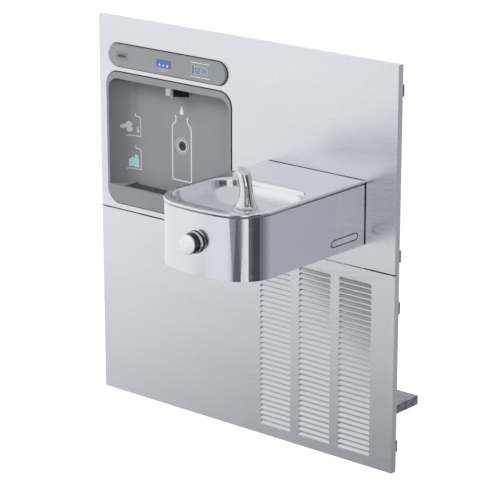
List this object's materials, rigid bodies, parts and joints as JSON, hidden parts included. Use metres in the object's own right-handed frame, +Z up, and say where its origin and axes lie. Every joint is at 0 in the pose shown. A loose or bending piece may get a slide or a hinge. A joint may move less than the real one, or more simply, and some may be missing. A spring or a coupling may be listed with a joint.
{
  "type": "bottle filling station",
  "caption": "Wall-recessed bottle filling station: steel panels with a filling alcove, a projecting drinking fountain and louvres over a chiller.",
  "frame": {"origin": "middle of the lower edge of the panels, on the finished wall face that the panel hems rest on", "axes": "+X to the right seen from the front, +Y into the wall, +Z up"},
  "size_m": [0.965, 0.795, 1.021],
  "materials": {
    "brushed_stainless": "brushed",
    "grey_moulding": "fine grain",
    "dark_plastic": "matt",
    "black_plastic": "satin",
    "nozzle_grey": "satin",
    "blue_window": "gloss",
    "display_window": "gloss",
    "chrome": "polished",
    "galvanised": "galvanised sheet",
    "copper": "drawn copper tube",
    "brass": "machined",
    "fins": "mill",
    "black_paint": "semi-gloss enamel",
    "motor_grey": "satin",
    "rubber": "matt",
    "circuit_board": "solder mask",
    "white_plastic": "satin",
    "insulation": "foam skin",
    "drain_plastic": "satin",
    "blue_coil": "moulded"
  },
  "bodies": {
    "station": {"upper_panel": "brushed_stainless", "lower_panel": "brushed_stainless", "alcove_housing": "grey_moulding", "tray_spout": "dark_plastic", "strip_bezel": "grey_moulding", "status_window": "blue_window", "display_window": "display_window", "strip_sensor_lens": "dark_plastic", "control_box": "nozzle_grey", "control_board": "circuit_board", "bottle_sensor": "dark_plastic", "nozzle_shroud": "nozzle_grey", "nozzle_body": "black_plastic", "nozzle_insert": "chrome", "basin": "brushed_stainless", "apron": "brushed_stainless", "bottom_cover": "brushed_stainless", "cover_screws": "chrome", "side_badge": "chrome", "bubbler": "chrome", "bubbler_nut": "brass", "drain_strainer": "chrome", "drain_tailpiece": "chrome", "drain_line": "drain_plastic", "push_button_collar": "chrome", "push_button_nut": "brass", "push_button_spring": "galvanised", "push_button_valve": "brass", "fountain_bracket": "galvanised", "post_left": "galvanised", "post_right": "galvanised", "frame_rails": "galvanised", "fountain_rails": "galvanised", "panel_hangers": "galvanised", "bracket_bolts": "galvanised", "alcove_clips": "galvanised", "chiller_shelf": "galvanised", "condenser": "fins", "fan_shroud": "galvanised", "fan_motor": "motor_grey", "compressor": "black_paint", "compressor_feet": "rubber", "cooling_tank": "insulation", "filter_drier": "copper", "thermostat_box": "dark_plastic", "junction_box": "galvanised", "filter_head": "white_plastic", "filler_solenoid": "blue_coil", "inlet_tube": "copper", "filtered_tube": "copper", "chilled_tubes": "copper", "bubbler_tube": "copper", "filler_tubes": "copper", "tray_hose": "dark_plastic", "refrigerant_tubes": "copper"},
    "push_button": {"push_button_cap": "chrome"},
    "fan_rotor": {"fan": "dark_plastic"},
    "filter": {"filter_cartridge": "white_plastic"},
    "dial": {"thermostat_dial": "white_plastic"},
    "grille": {"drip_grille": "grey_moulding"}
  },
  "joints": [
    {"name": "push_button_travel", "type": "slide", "parent": "station", "child": "push_button", "axis": [0, 1, 0], "range_m": [0, 0.005], "stiffness_N_per_m": 400, "springref_m": -0.008, "deforming": ["push_button_spring"]},
    {"name": "fan_spin", "type": "hinge", "parent": "station", "child": "fan_rotor", "pos_m": [0.195, 0.143, 0.1935], "axis": [0, 1, 0], "continuous": true},
    {"name": "filter_turn", "type": "hinge", "parent": "station", "child": "filter", "pos_m": [-0.312, 0.155, 0.452], "axis": [0, 0, 1], "range_deg": [0, 90]},
    {"name": "thermostat_turn", "type": "hinge", "parent": "station", "child": "dial", "pos_m": [-0.084, 0.122, 0.1355], "axis": [0, 0, 1], "range_deg": [0, 270]},
    {"name": "grille_lift", "type": "slide", "parent": "station", "child": "grille", "axis": [0, 0, 1], "range_m": [0, 0.012]}
  ]
}
